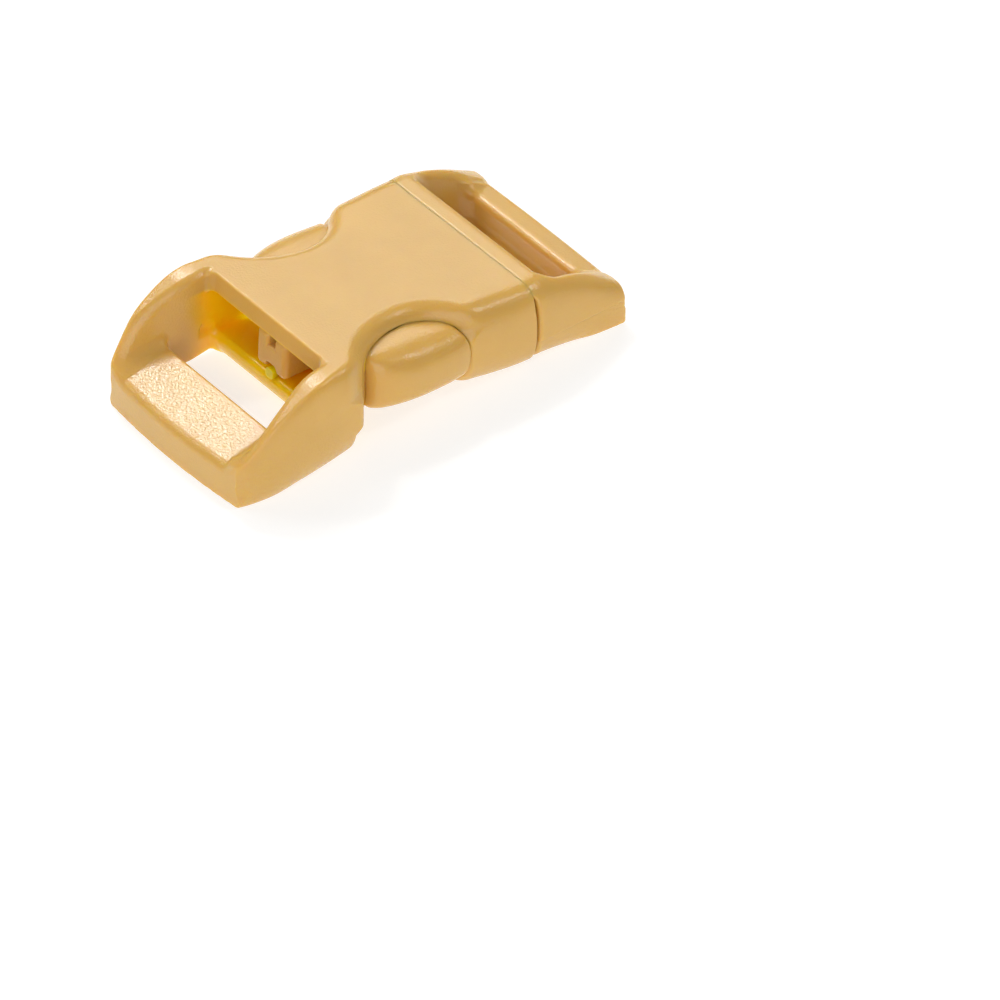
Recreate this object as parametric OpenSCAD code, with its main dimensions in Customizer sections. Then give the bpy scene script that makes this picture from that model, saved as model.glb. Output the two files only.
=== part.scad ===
// Contoured side release buckle, shown fastened.
// Two moulded halves: a housing with a webbing bar at its tail and a window in
// each side, and a plug whose centre tongue and two sprung arms sit inside it.
// X runs along the webbing, from the housing's tail to the plug's end, +Z is up,
// and the buckle rests on its two end bars at z = 0.

/* [Webbing] */
// Width of the webbing that both slots take
webbing_w = 16; // [12:0.5:16.5]
// Open length of the housing's webbing slot
tail_slot = 5.4; // [4.4:0.1:6]
// Open length of the plug's webbing slot
plug_slot = 5.4; // [4.4:0.1:6]

/* [Outside] */
// Length over both end bars
total_len = 43; // [41:0.5:48]
// Width over the sides
total_w = 22; // [21.5:0.5:26]
// Height at the housing's tail slot, the highest place
crown_h = 10.45; // [9.8:0.05:12]
// Rise of the hollow underside between the end bars
arch_h = 1.5; // [0.8:0.1:1.7]
// Width of the rounded upper corners along both sides
top_corner_w = 2.1; // [1.2:0.1:2.4]
// Width of the rounded lower corners along both sides
foot_corner_w = 1.9; // [1:0.1:2.2]
// How far the tail's front bows out over the full width
tail_bow = 1; // [0.4:0.1:1.4]
// How far the plug's end bows out over the full width
plug_bow = 0.6; // [0.3:0.1:1]
// How far each rail leans out from the slot at its top
rail_lean = 0.9; // [0:0.1:1.1]

/* [Housing] */
// Length of the housing, tail to mouth
housing_len = 32.6; // [31.6:0.1:33.6]
// Depth of the tail bar along the webbing
tail_bar_d = 5.6; // [4.6:0.1:6]
// Height of the tail bar at its outer edge
tail_bar_front_h = 3.75; // [3:0.05:4.2]
// Height of the tail bar at the slot
tail_bar_back_h = 4.95; // [4.3:0.05:5.6]
// Thickness of the top plate at the slot
top_wall = 2; // [1.6:0.1:2.3]
// Thickness of the floor plate's edge at the slot
floor_wall = 1.4; // [1:0.1:1.6]
// Height of the floor plate's upper edge at the slot
floor_edge_h = 3.45; // [3.2:0.05:3.7]
// Height of the middle of the mouth opening
mouth_mid_h = 4.6; // [4.4:0.05:4.8]
// Height of the mouth opening
mouth_h = 5.7; // [5.5:0.05:5.9]
// Thickness of the wall on each side of the mouth opening
mouth_wall = 1.6; // [1.5:0.05:1.8]
// Height of the guide rib that the tongue straddles
rib_h = 0.8; // [0.5:0.05:0.9]
// Width of the guide rib
rib_w = 0.8; // [0.5:0.1:1]

/* [Side windows] */
// Where each window is deepest, measured from the mouth
window_from_mouth = 12.2; // [11.8:0.1:12.6]
// Depth of each scallop, from the side of the buckle inwards
scallop_depth = 4.45; // [3.8:0.05:5]
// Radius of each scallop towards the tail
scallop_tail_r = 8.3; // [7.8:0.1:8.8]
// Radius of each scallop towards the mouth
scallop_mouth_r = 5.2; // [5:0.1:5.5]
// Distance from the mouth to the catch face that holds the arm
catch_from_mouth = 7.3; // [7:0.1:7.6]

/* [Plug] */
// Gap between the mouth and the plug's flange
flange_gap = 0.25; // [0.1:0.05:0.4]
// Thickness of the crossbar between the flange face and the slot
crossbar_d = 1.4; // [1.2:0.1:2]
// Height of the crossbar's rear edge
crossbar_h = 8; // [7.4:0.1:8.3]
// Height of the plug's end bar at its inner ridge
end_bar_h = 4.7; // [4.2:0.1:5.2]
// Height of the plug's end bar at its outer edge
end_bar_front_h = 3.95; // [3.4:0.05:4.3]
// Depth of the web inside the mouth
web_d = 1.3; // [1:0.1:1.6]
// Clearance of the web in the mouth, each side
web_gap = 0.12; // [0.08:0.01:0.2]

/* [Tongue] */
// Length of the tongue from the mouth inwards
tongue_len = 20.9; // [19:0.1:21.2]
// Width of the tongue
tongue_w = 3.4; // [2.8:0.1:3.8]
// Height of the tongue
tongue_h = 3.9; // [3.5:0.1:4]
// Width of the groove along the tongue's top
groove_w = 1.5; // [1:0.1:1.8]
// Depth of the groove along the tongue's top
groove_d = 2.2; // [1:0.1:2.4]
// Clearance of the tongue round the guide rib, each side
rib_gap = 0.3; // [0.2:0.05:0.5]

/* [Arms] */
// Distance from the side of the buckle to each arm's centre line
arm_inset = 3; // [2.9:0.05:3.2]
// Thickness of the arm's neck
neck_t = 1.5; // [1.2:0.1:1.6]
// Height of the arm's neck
neck_h = 2.3; // [1.8:0.1:2.8]
// Length of the arm's head
head_len = 9.8; // [9:0.1:10]
// Thickness of the head, from its inner to its outer face
head_t = 5; // [4.6:0.1:5.1]
// Height of the arm's head
head_h = 4.8; // [4.2:0.1:4.9]
// How far the head stands out beyond the arm's centre line
head_out = 3; // [2.7:0.05:3]
// Radius of the knuckle where the arm flexes
knuckle_r = 0.85; // [0.8:0.05:0.95]
// Running clearance round the knuckle
knuckle_gap = 0.05; // [0.03:0.01:0.08]
// Gap between the head and the catch face
catch_gap = 0.15; // [0.1:0.05:0.25]

/* [Hidden] */
$fn = 64;
moulded = [0.90, 0.77, 0.55];
past = 1;
half_w = total_w / 2;
slot_half = webbing_w / 2;
tail_slot_x = tail_bar_d + tail_slot;
catch_x = housing_len - catch_from_mouth;
frame_x = housing_len + flange_gap;
frame_len = total_len - frame_x;
top_edge_h = crown_h - 0.1;
ceiling_edge_h = top_edge_h - top_wall;
slot_mid_h = (ceiling_edge_h + floor_edge_h) / 2;
rise = atan((slot_mid_h - mouth_mid_h) / (housing_len - tail_slot_x));
mouth_w = total_w - 2 * mouth_wall;
waist_w = total_w - 2 * scallop_depth;
arm_y = half_w - arm_inset;
step_len = 3.4;
step_x = tail_slot_x + step_len;
bar_nose = 0.5;
bar_drop = 0.3;
slot_lip = 0.3;
slot_draft = 0.6;
rib_from_slot = 0.6;
rib_to_web = 1;
rib_sunk_d = 0.4;
groove_to_tip = 4.2;
groove_to_mouth = 2.3;
seat_d = 0.9;
seat_wall = 0.45;
root_x = -web_d - seat_d;
head_x = -catch_from_mouth - catch_gap;
roundness = 2.3;
quarter = 5;

// Housing sections. Columns: place along the housing, half width, top height,
// underside height, top corner inset and foot inset, as shares of housing_len,
// half_w, crown_h, arch_h, top_corner_w and foot_corner_w.
HOUSING = [
    [-0.030, 0.800, 0.360, -0.05, 0.20, 0.25],
    [ 0.010, 0.850, 0.415, -0.05, 0.25, 0.30],
    [ 0.050, 0.905, 0.535, -0.05, 0.30, 0.40],
    [ 0.120, 0.965, 0.745, -0.05, 0.35, 0.65],
    [ 0.190, 0.990, 0.875, 0.05, 0.60, 0.90],
    [ 0.250, 0.997, 0.950, 0.20, 0.80, 1.00],
    [ 0.300, 1.000, 0.987, 0.35, 1.00, 1.00],
    [ 0.345, 1.000, 1.000, 0.50, 1.10, 1.00],
    [ 0.420, 0.990, 0.988, 0.72, 1.15, 1.00],
    [ 0.520, 0.970, 0.957, 0.93, 1.00, 1.00],
    [ 0.650, 0.945, 0.920, 1.00, 1.00, 1.00],
    [ 0.775, 0.935, 0.888, 0.88, 1.00, 1.00],
    [ 0.860, 0.955, 0.864, 0.70, 1.00, 1.00],
    [ 0.940, 0.985, 0.841, 0.53, 1.00, 1.00],
    [ 1.000, 1.000, 0.823, 0.40, 1.00, 1.00]];
// Plug frame sections, with the same columns along frame_len.
FRAME = [
    [ 0.000, 1.000, 0.820, 0.40, 1.00, 1.00],
    [ 0.090, 1.000, 0.813, 0.36, 1.00, 1.00],
    [ 0.220, 1.000, 0.775, 0.30, 1.00, 0.95],
    [ 0.420, 0.998, 0.695, 0.15, 1.05, 0.75],
    [ 0.620, 1.000, 0.598, -0.02, 1.10, 0.50],
    [ 0.800, 1.005, 0.495, -0.05, 1.05, 0.30],
    [ 0.940, 1.005, 0.400, -0.05, 0.95, 0.15],
    [ 1.060, 1.005, 0.310, -0.05, 0.85, 0.10]];
// Head sections. Columns: place along the head from its tip, width of the inner
// side, setback of the outer side and height, as shares of head_len, head_t,
// head_t and head_h.
HEAD = [
    [0.00, 0.58, 0.40, 0.24],
    [0.04, 0.66, 0.30, 0.46],
    [0.12, 0.75, 0.19, 0.68],
    [0.25, 0.85, 0.09, 0.86],
    [0.42, 0.95, 0.02, 0.97],
    [0.60, 1.00, 0.00, 1.00],
    [0.78, 0.99, 0.01, 1.00],
    [0.90, 0.94, 0.04, 0.98],
    [1.00, 0.86, 0.08, 0.95]];

// The row of table t that place s comes after.
function row_at(t, s, i = 0) = i >= len(t) - 2 || s <= t[i + 1][0] ? i : row_at(t, s, i + 1);
// The slope of column c at row i, from the rows on either side.
function slope(t, c, i) = let(a = max(i - 1, 0), b = min(i + 1, len(t) - 1))
    (t[b][c] - t[a][c]) / (t[b][0] - t[a][0]);
// The smooth value of column c of table t at place s.
function at(t, c, s) = let(i = row_at(t, s), h = t[i + 1][0] - t[i][0], u = (s - t[i][0]) / h)
    t[i][c] * (1 + 2 * u) * pow(1 - u, 2) + t[i + 1][c] * u * u * (3 - 2 * u)
    + h * slope(t, c, i) * u * pow(1 - u, 2) - h * slope(t, c, i + 1) * u * u * (1 - u);

// A rounded quarter with half axes a and b, from its side to its top.
function quarter_pts(a, b) = [for (k = [0:quarter]) let(w = 90 * k / quarter)
    [a * pow(max(cos(w), 0), 2 / roundness), b * pow(max(sin(w), 0), 2 / roundness)]];
// One closed section of half width w from z = lo to hi, with its corners set in.
function section(w, lo, hi, in_top, in_foot) = let(
    mid = (lo + hi) / 2, n = quarter,
    up = quarter_pts(in_top, hi - mid), dn = quarter_pts(in_foot, mid - lo))
    concat([for (k = [0:n]) [w - in_top + up[k][0], mid + up[k][1]]],
           [for (k = [n:-1:0]) [in_top - w - up[k][0], mid + up[k][1]]],
           [for (k = [1:n]) [in_foot - w - dn[k][0], mid - dn[k][1]]],
           [for (k = [n:-1:1]) [w - in_foot + dn[k][0], mid - dn[k][1]]]);

// Heights of the cavity's ceiling and floor at x.
function along_cavity(x) = (x - tail_slot_x) / (housing_len - tail_slot_x);
function ceiling_z(x) = ceiling_edge_h
    + (mouth_mid_h + mouth_h / 2 - ceiling_edge_h) * along_cavity(x);
function floor_z(x) = floor_edge_h
    + (mouth_mid_h - mouth_h / 2 - floor_edge_h) * along_cavity(x);

// A closed skin over rings of points that all have the same count.
module skin(rings) {
    n = len(rings[0]);
    m = len(rings);
    polyhedron(points = [for (r = rings) for (p = r) p],
        faces = concat(
            [[for (k = [0:n - 1]) k]],
            [for (i = [0:m - 2]) for (k = [0:n - 1]) each let(
                a = i * n + k, b = i * n + (k + 1) % n)
                [[a, a + n, b], [b, a + n, b + n]]],
            [[for (k = [n - 1:-1:0]) (m - 1) * n + k]]));
}

// The outside of a half: a table's sections along X, starting at x0.
module outside(t, x0, along, steps) {
    first = t[0][0];
    last = t[len(t) - 1][0];
    skin([for (i = [0:steps]) let(s = first + (last - first) * i / steps)
        [for (p = section(half_w * at(t, 1, s), arch_h * at(t, 3, s), crown_h * at(t, 2, s),
                          top_corner_w * at(t, 4, s), foot_corner_w * at(t, 5, s)))
            [x0 + along * s, p[0], p[1]]]]);
}

// A prism across the buckle with the side view given as [x, z] points.
module across(width, pts) {
    translate([0, width / 2, 0]) rotate([90, 0, 0]) linear_extrude(width) polygon(pts);
}

// The large upright cylinder whose edge, at x = tip, bows an end bar out by depth,
// and whose lower face is the ground that the bar rests on.
module bow(tip, side, depth) {
    r = (half_w * half_w + depth * depth) / (2 * depth);
    translate([tip + side * r, 0, 0]) cylinder(r = r, h = crown_h + past, $fn = 240);
}

// The room between two rails: as wide as the webbing below foot, and wider above.
module between_rails(foot) {
    wide = slot_half + rail_lean;
    rotate([90, 0, 90]) translate([0, 0, -past]) linear_extrude(total_len + 2 * past)
        polygon([[-slot_half, -2 * past], [slot_half, -2 * past], [slot_half, foot],
                 [wide, crown_h], [wide, crown_h + 2 * past], [-wide, crown_h + 2 * past],
                 [-wide, crown_h], [-slot_half, foot]]);
}

// The webbing's way over the tail bar and down through the slot.
module tail_opening() {
    foot_x = tail_slot_x + 2 * slot_lip;
    top_x = tail_slot_x + slot_lip / 2;
    intersection() {
        between_rails(tail_bar_front_h);
        across(total_w, [
            [-4 * bar_nose, tail_bar_front_h - bar_nose], [bar_nose, tail_bar_front_h],
            [tail_bar_d, tail_bar_back_h], [tail_bar_d, -past],
            [foot_x, -past], [foot_x, floor_edge_h - 2 * floor_wall],
            [tail_slot_x - slot_lip, floor_edge_h - floor_wall], [tail_slot_x, floor_edge_h],
            [tail_slot_x, ceiling_edge_h], [top_x, top_edge_h],
            [top_x, crown_h + past], [-4 * bar_nose, crown_h + past]]);
    }
}

// The webbing's way over the plug's end bar and down through the slot.
module plug_opening() {
    bar_x = frame_x + crossbar_d;
    ridge_x = bar_x + plug_slot;
    foot_x = ridge_x + slot_draft;
    intersection() {
        between_rails(end_bar_h);
        across(total_w, [
            [bar_x, crown_h + past], [bar_x, crossbar_h], [bar_x + slot_draft / 2, -past],
            [foot_x, -past], [foot_x, slot_draft], [ridge_x, end_bar_h],
            [total_len - bar_nose, end_bar_front_h],
            [total_len + 2 * bar_nose, end_bar_front_h - bar_drop],
            [total_len + 2 * bar_nose, crown_h + past]]);
    }
}

// The cavity between floor and ceiling from xa to xb.
module hollow(width, xa, xb) {
    across(width, [[xa, floor_z(xa)], [xb, floor_z(xb)], [xb, ceiling_z(xb)], [xa, ceiling_z(xa)]]);
}

// The scallop that bares an arm's head, on the left side of both plates.
module scallop() {
    tall = crown_h + 2 * past;
    translate([housing_len - window_from_mouth, waist_w / 2, -past]) {
        intersection() {
            translate([0, scallop_tail_r, 0]) cylinder(r = scallop_tail_r, h = tall);
            translate([-scallop_tail_r, 0, 0]) cube([scallop_tail_r, scallop_tail_r, tall]);
        }
        intersection() {
            translate([0, scallop_mouth_r, 0]) cylinder(r = scallop_mouth_r, h = tall);
            translate([-0.01, 0, 0]) cube([scallop_mouth_r + past, scallop_mouth_r, tall]);
        }
    }
}

// The window through both side walls, with a round end at the catch.
module window() {
    r = (ceiling_z(catch_x) - floor_z(catch_x)) / 2;
    mid = (ceiling_z(catch_x - r) + floor_z(catch_x - r)) / 2;
    hollow(total_w + 2 * past, step_x, catch_x - r);
    translate([catch_x - r, 0, mid]) rotate([90, 0, 0])
        cylinder(r = r, h = total_w + 2 * past, center = true);
}

// The rib along the floor that keeps the tongue straight.
module guide_rib() {
    a = tail_slot_x + rib_from_slot;
    b = housing_len - web_d - seat_d - rib_to_web;
    across(rib_w, [[a, floor_z(a) - rib_sunk_d], [b, floor_z(b) - rib_sunk_d],
                   [b - rib_h, floor_z(b - rib_h) + rib_h], [a + rib_h, floor_z(a + rib_h) + rib_h]]);
}

module housing() {
    color(moulded) difference() {
        intersection() {
            outside(HOUSING, 0, housing_len, 32);
            bow(0, 1, tail_bow);
        }
        tail_opening();
        hollow(webbing_w, tail_slot_x - past, step_x + past);
        hollow(mouth_w, step_x, housing_len + past);
        window();
        scallop();
        mirror([0, 1, 0]) scallop();
    }
    color(moulded) guide_rib();
}

// Puts its children on the cavity's sloping middle plane, at the mouth.
module at_mouth() {
    translate([housing_len, 0, mouth_mid_h]) rotate([0, rise, 0]) children();
}

// The centre tongue, grooved along its top and straddling the guide rib below.
module tongue() {
    groove_a = groove_to_tip - tongue_len;
    under_h = rib_h + tongue_h / 2 - mouth_h / 2 + 3 * rib_gap;
    difference() {
        translate([-tongue_len, -tongue_w / 2, -tongue_h / 2]) cube([tongue_len, tongue_w, tongue_h]);
        translate([0, 0, tongue_h / 2 - groove_d]) linear_extrude(groove_d + past) {
            translate([groove_a, 0]) circle(d = groove_w);
            translate([-groove_to_mouth, 0]) circle(d = groove_w);
            translate([groove_a, -groove_w / 2])
                square([-groove_a - groove_to_mouth, groove_w]);
        }
        translate([-tongue_len - past, -rib_w / 2 - rib_gap, -tongue_h / 2 - past])
            cube([tongue_len - web_d - seat_d, rib_w + 2 * rib_gap, past + under_h]);
    }
}

// The web inside the mouth, with a concave seat for each arm's knuckle.
module web() {
    w = mouth_w - 2 * web_gap;
    h = mouth_h - 4 * web_gap;
    seat_w = 2 * (knuckle_r + knuckle_gap + seat_wall);
    difference() {
        union() {
            translate([-web_d, -w / 2, -h / 2]) cube([web_d + flange_gap + past, w, h]);
            for (side = [-1, 1]) translate([root_x, side * arm_y - seat_w / 2, -h / 2])
                cube([seat_d + past, seat_w, h]);
        }
        for (side = [-1, 1]) translate([root_x, side * arm_y, 0])
            cylinder(r = knuckle_r + knuckle_gap, h = h + past, center = true);
    }
}

module plug_frame() {
    color(moulded) difference() {
        intersection() {
            outside(FRAME, frame_x, frame_len, 14);
            bow(total_len, -1, plug_bow);
        }
        plug_opening();
    }
    color(moulded) at_mouth() {
        web();
        tongue();
    }
}

// The head of the left arm, from its tip to the catch face.
module head() {
    outer = arm_y + head_out;
    skin([for (row = HEAD) let(
        a = outer - head_t * row[1], b = outer - head_t * row[2],
        h = head_h * row[3] / 2, w = (b - a) / 2)
        [for (p = section(w, -h, h, 0.9 * w, 0.9 * w))
            [head_x - head_len * (1 - row[0]), (a + b) / 2 + p[0], p[1]]]]);
}

// The left arm: a round knuckle, a straight neck and the head with a round end
// that fits the window's.
module arm() {
    r = (ceiling_z(catch_x) - floor_z(catch_x)) / 2 - catch_gap;
    color(moulded) at_mouth() {
        translate([root_x, arm_y, 0]) cylinder(r = knuckle_r, h = neck_h, center = true);
        translate([head_x - neck_t, arm_y - neck_t / 2, -neck_h / 2])
            cube([root_x - head_x + neck_t, neck_t, neck_h]);
        intersection() {
            head();
            union() {
                translate([head_x - r, 0, 0]) rotate([90, 0, 0])
                    cylinder(r = r, h = 2 * total_w, center = true);
                translate([head_x - r - head_len, 0, -head_h]) cube([head_len, total_w, 2 * head_h]);
            }
        }
    }
}

// Moves the origin from the tail to the middle of the length.
module centred() {
    translate([-total_len / 2, 0, 0]) children();
}

centred() housing();
centred() plug_frame();
centred() arm();  // release_arm_left
centred() mirror([0, 1, 0]) arm();  // release_arm_right
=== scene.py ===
import bpy
import numpy as np
from bpy.props import FloatProperty, FloatVectorProperty, PointerProperty
from mathutils import Matrix, Vector


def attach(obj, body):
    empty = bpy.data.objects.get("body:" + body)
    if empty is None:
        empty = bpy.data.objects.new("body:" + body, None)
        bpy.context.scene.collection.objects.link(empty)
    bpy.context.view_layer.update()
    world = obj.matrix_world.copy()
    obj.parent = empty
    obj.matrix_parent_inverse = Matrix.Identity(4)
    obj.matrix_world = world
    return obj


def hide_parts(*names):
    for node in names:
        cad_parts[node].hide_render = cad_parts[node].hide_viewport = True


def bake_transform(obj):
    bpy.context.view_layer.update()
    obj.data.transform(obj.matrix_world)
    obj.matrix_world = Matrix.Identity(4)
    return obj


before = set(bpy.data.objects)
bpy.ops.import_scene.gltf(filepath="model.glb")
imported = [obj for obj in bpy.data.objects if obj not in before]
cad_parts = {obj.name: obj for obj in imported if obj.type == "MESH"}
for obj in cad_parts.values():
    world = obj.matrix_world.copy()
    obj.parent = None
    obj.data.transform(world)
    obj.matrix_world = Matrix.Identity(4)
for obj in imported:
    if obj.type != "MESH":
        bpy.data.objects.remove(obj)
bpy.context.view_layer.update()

bl_info = {
    "name": "Side release buckle",
    "version": (1, 0, 0),
    "blender": (4, 5, 0),
    "location": "View3D > Sidebar > Buckle",
    "description": "A contoured side release buckle, moulded in acetal and shown fastened",
    "category": "Add Mesh",
}

MM = 0.001

# How square the outside's sections are, where 2 is an ellipse.
ROUNDNESS = 2.3

# Sizes in mm: lengths from the tail's end, widths from the middle and heights from the ground.
# ROOT_X and HEAD_X are from the mouth, in the frame of the plug's inside parts.
TOTAL_LEN = 43.0
MIDDLE_X = TOTAL_LEN / 2
HALF_W = 11.0
CROWN_H = 10.45
ARCH_H = 1.5
TOP_CORNER = 2.1
FOOT_CORNER = 1.9
SLOT_HALF = 8.0
HOUSING_LEN = 32.6
TAIL_BAR_D = 5.75
TAIL_SLOT_X = 11.0
BAR_EDGE_H = 3.63
BAR_BACK_H = 4.95
CEILING_EDGE_H = 8.35
FLOOR_EDGE_H = 3.45
FLOOR_WALL = 1.4
MOUTH_MID_H = 4.6
MOUTH_H = 5.7
MOUTH_HALF = 9.4
STEP_X = 14.8
CATCH_X = 25.3
SCALLOP_X = 20.4
WAIST_HALF = 6.55
SCALLOP_TAIL_R = 8.3
SCALLOP_MOUTH_R = 5.2
FRAME_X = 32.85
FRAME_LEN = TOTAL_LEN - FRAME_X
CROSSBAR_X = FRAME_X + 1.4
RIDGE_X = CROSSBAR_X + 5.4
CROSSBAR_H = 8.0
RIDGE_H = 4.7
END_BAR_H = 4.15
RAIL_TURN_H = 4.3
SEAM_H = 8.0
SEAM_LAP = 0.3
FLANGE_LAP = 0.52
FLANGE_EDGE = 0.35
FOOT_EDGE = 0.06
TAIL_BOW = 0.75
PLUG_BOW = 0.4
WEB_D = 1.3
WEB_GAP = 0.12
TONGUE_LEN = 21.3
TONGUE_HALF = 2.05
TONGUE_H = 3.9
GROOVE_HALF = 0.75
GROOVE_D = 2.2
RIB_H = 0.8
RIB_HALF = 0.5
RIB_GAP = 0.3
ARM_Y = 8.0
NECK_HALF = 0.75
NECK_H = 2.3
HEAD_LEN = 10.1
HEAD_END = 2.8
HEAD_T = 5.0
HEAD_H = 4.8
HEAD_OUT = 3.0
FIT_GAP = 0.02
ROOT_X = -2.2
HEAD_X = -7.25
# The tilt of the plug's inside parts, which rise towards the tail, in radians.
RISE = np.arctan(((CEILING_EDGE_H + FLOOR_EDGE_H) / 2 - MOUTH_MID_H)
                 / (HOUSING_LEN - TAIL_SLOT_X))

# Edge radii in mm.
EDGE = dict(tail_corner=0.8, tail_foot=0.1, mouth=0.06, bar=0.4, slot_corner=0.9, crest=0.8,
            slot_edge=0.18, rail_foot=1.6, window=0.3, scallop=1.6, cavity=0.5, groove=0.38)

# How deep light goes into the plastic, in metres: everywhere, and in the cavity's thin walls.
WALL_DEPTH = 0.0009
CAVITY_DEPTH = 0.0025
GRAIN_DEPTH = 0.00003
MOTTLE_SIZE = 0.006
BAR_ROUGHNESS = 0.19
BAR_COARSE = 1.25

FLOOR_HALF = 1.5
FLOOR_DROP = 0.00002
LIGHT_AWAY = 0.45

# Columns: place along the part, half width, top, underside, upper and lower corner,
# as shares of the part's length, half width, crown, arch and corner widths.
HOUSING_SECTIONS = np.array([
    [-0.030, 0.800, 0.360, -0.05, 0.20, 0.25],
    [0.010, 0.842, 0.415, -0.05, 0.25, 0.30],
    [0.050, 0.893, 0.535, -0.05, 0.28, 0.40],
    [0.120, 0.955, 0.748, -0.05, 0.32, 0.65],
    [0.190, 0.985, 0.884, 0.05, 0.40, 0.90],
    [0.250, 0.999, 0.965, 0.20, 0.50, 1.00],
    [0.300, 1.003, 0.994, 0.35, 0.60, 1.00],
    [0.345, 1.003, 0.998, 0.50, 0.80, 1.00],
    [0.420, 0.994, 0.991, 0.72, 0.92, 1.00],
    [0.520, 0.972, 0.960, 0.93, 1.00, 1.00],
    [0.650, 0.950, 0.920, 1.00, 1.15, 1.00],
    [0.775, 0.958, 0.890, 0.80, 1.15, 1.00],
    [0.860, 0.980, 0.866, 0.55, 1.22, 0.95],
    [0.940, 0.998, 0.843, 0.36, 1.22, 0.90],
    [1.000, 1.003, 0.826, 0.25, 1.20, 0.90]])
FRAME_SECTIONS = np.array([
    [0.000, 1.000, 0.836, 0.25, 1.25, 0.90],
    [0.090, 1.000, 0.831, 0.21, 1.20, 0.90],
    [0.220, 1.000, 0.787, 0.16, 1.15, 0.80],
    [0.420, 0.998, 0.707, 0.05, 1.05, 0.60],
    [0.620, 1.000, 0.605, -0.05, 1.00, 0.30],
    [0.800, 1.004, 0.492, -0.05, 0.88, 0.15],
    [0.940, 1.005, 0.396, -0.05, 0.68, 0.08],
    [1.060, 1.005, 0.310, -0.05, 0.58, 0.06]])
# Columns: place from the head's tip, inner side, outer side and height.
HEAD_SECTIONS = np.array([
    [0.00, 0.70, 0.42, 0.90],
    [0.04, 0.78, 0.33, 0.96],
    [0.12, 0.86, 0.20, 1.00],
    [0.25, 0.93, 0.09, 1.00],
    [0.42, 0.98, 0.02, 1.00],
    [0.60, 1.00, 0.00, 1.00],
    [0.78, 0.99, 0.01, 1.00],
    [0.90, 0.94, 0.04, 1.00],
    [1.00, 0.86, 0.08, 1.00]])
# How far the rails' inner walls lean out at their crest, along the tail slot.
RAIL_LEAN = np.array([[0.0, 1.0], [3.7, 1.0], [5.0, 0.8], [6.3, 0.55],
                      [7.7, 0.2], [9.3, 0.0], [11.0, 0.0], [12.0, 0.0]])


def column(table, place, col):
    """The smooth value of a table's column at each place."""
    k, v = table[:, 0], table[:, col]
    n = len(k)
    low, high = np.maximum(np.arange(n) - 1, 0), np.minimum(np.arange(n) + 1, n - 1)
    m = (v[high] - v[low]) / (k[high] - k[low])
    place = np.clip(place, k[0], k[-1])
    i = np.clip(np.searchsorted(k, place) - 1, 0, n - 2)
    h = k[i + 1] - k[i]
    u = (place - k[i]) / h
    return (v[i] * (1 + 2 * u) * (1 - u) ** 2 + v[i + 1] * u * u * (3 - 2 * u)
            + h * m[i] * u * (1 - u) ** 2 - h * m[i + 1] * u * u * (1 - u))


def both(a, b, r):
    """Where two solids overlap, with an outer edge of radius r."""
    u, v = np.maximum(r + a, 0), np.maximum(r + b, 0)
    return np.minimum(-r, np.maximum(a, b)) + np.sqrt(u * u + v * v)


def either(a, b, r):
    """Two solids together, with a fillet of radius r between them."""
    return -both(-a, -b, r)


def ease(t):
    """0 below t = 0, 1 above t = 1, and smooth between."""
    t = np.clip(t, 0, 1)
    return t * t * (3 - 2 * t)


def ramp(t):
    """0 well below t = 0, t well above it, with a soft start."""
    return (t + np.sqrt(t * t + 0.03)) / 2


def left_of(x, z, ax, az, bx, bz):
    """Distance to the left of the line from a to b, in the side view."""
    dx, dz = bx - ax, bz - az
    return ((z - az) * dx - (x - ax) * dz) / np.hypot(dx, dz)


def shell(table, start, length, x, y, z):
    """The outside of a half: rounded sections that change along it. 1 on the surface."""
    s = (x - start) / length
    w = HALF_W * column(table, s, 1)
    top = CROWN_H * column(table, s, 2)
    foot = ARCH_H * column(table, s, 3)
    mid, half = (top + foot) / 2, (top - foot) / 2
    # The corners' widths pass into each other at mid height.
    low, high = FOOT_CORNER * column(table, s, 5), TOP_CORNER * column(table, s, 4)
    corner = low + (high - low) * ease((z - mid) / 0.6 + 0.5)
    u = np.maximum(np.abs(y) - w + corner, 0) / corner
    v = np.abs(z - mid) / half
    return (u ** ROUNDNESS + v ** ROUNDNESS) ** (1 / ROUNDNESS)


def housing_outside(x, y, z):
    """The housing's outside. 1 on the surface."""
    return shell(HOUSING_SECTIONS, 0, HOUSING_LEN, x, y, z)


def plug_outside(x, y, z):
    """The plug's outside, straight on from the seam into the mouth. 1 on the surface."""
    return shell(FRAME_SECTIONS, FRAME_X, FRAME_LEN, np.maximum(x, FRAME_X), y, z)


def distance(level, x, y, z, least=0.12, step=0.02):
    """A near distance to the surface where level(x, y, z) is 1."""
    g = level(x, y, z)
    beside = ((x + step, y, z), (x, y + step, z), (x, y, z + step))
    slope = [(level(*p) - g) / step for p in beside]
    steepness = np.sqrt(slope[0] ** 2 + slope[1] ** 2 + slope[2] ** 2)
    return (g - 1) / np.maximum(steepness, least)


def bow(tip, side, depth, x, y):
    """An end face that bows out by depth over the full width."""
    r = (HALF_W ** 2 + depth ** 2) / (2 * depth)
    return np.sqrt((x - tip - side * r) ** 2 + y * y) - r


def share_of_cavity(x):
    """0 at the tail slot and 1 at the mouth."""
    return (x - TAIL_SLOT_X) / (HOUSING_LEN - TAIL_SLOT_X)


def ceiling_z(x):
    """Height of the underside of the top plate."""
    return CEILING_EDGE_H + (MOUTH_MID_H + MOUTH_H / 2 - CEILING_EDGE_H) * share_of_cavity(x)


def floor_z(x):
    """Height of the cavity's floor."""
    return FLOOR_EDGE_H + (MOUTH_MID_H - MOUTH_H / 2 - FLOOR_EDGE_H) * share_of_cavity(x)


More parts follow.
